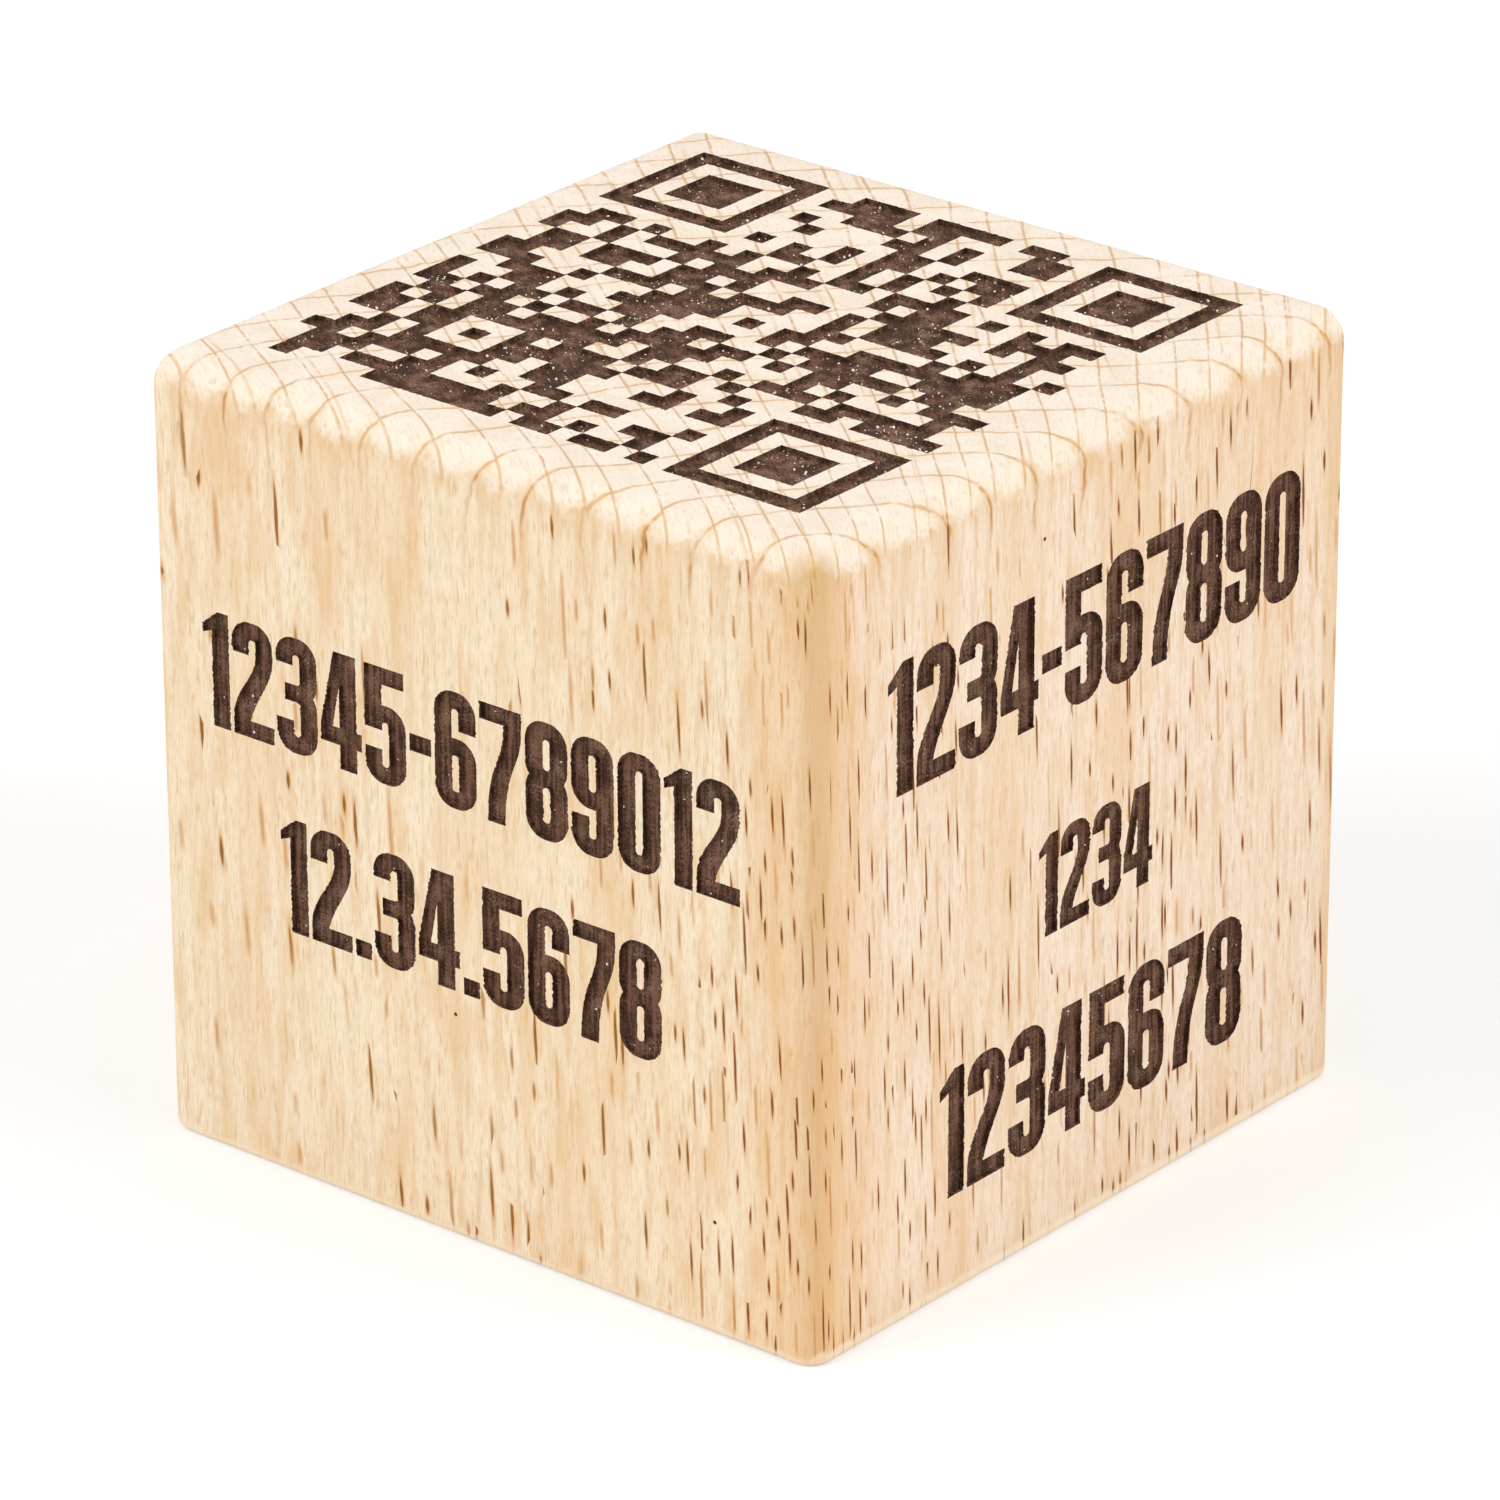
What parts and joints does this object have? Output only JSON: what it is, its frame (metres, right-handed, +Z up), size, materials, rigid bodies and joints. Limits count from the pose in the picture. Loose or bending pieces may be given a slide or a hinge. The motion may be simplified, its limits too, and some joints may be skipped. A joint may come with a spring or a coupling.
{
  "type": "wooden cube",
  "caption": "Solid beech cube with rounded edges, a shallow engraved pattern of square cells on its top and engraved numerals on its front and right faces.",
  "frame": {"origin": "middle of the base, on the surface that the cube stands on", "axes": "+Z up along the grain, -Y out of the front face with the numerals, +X out of the right-hand face with the numerals"},
  "size_m": [0.05, 0.05, 0.05],
  "materials": {
    "beech": "sanded bare beech, pale cream with fine brown flecks, the engraved floors burnt dark brown"
  },
  "bodies": {
    "root": {"wooden_cube": "beech"}
  },
  "joints": []
}
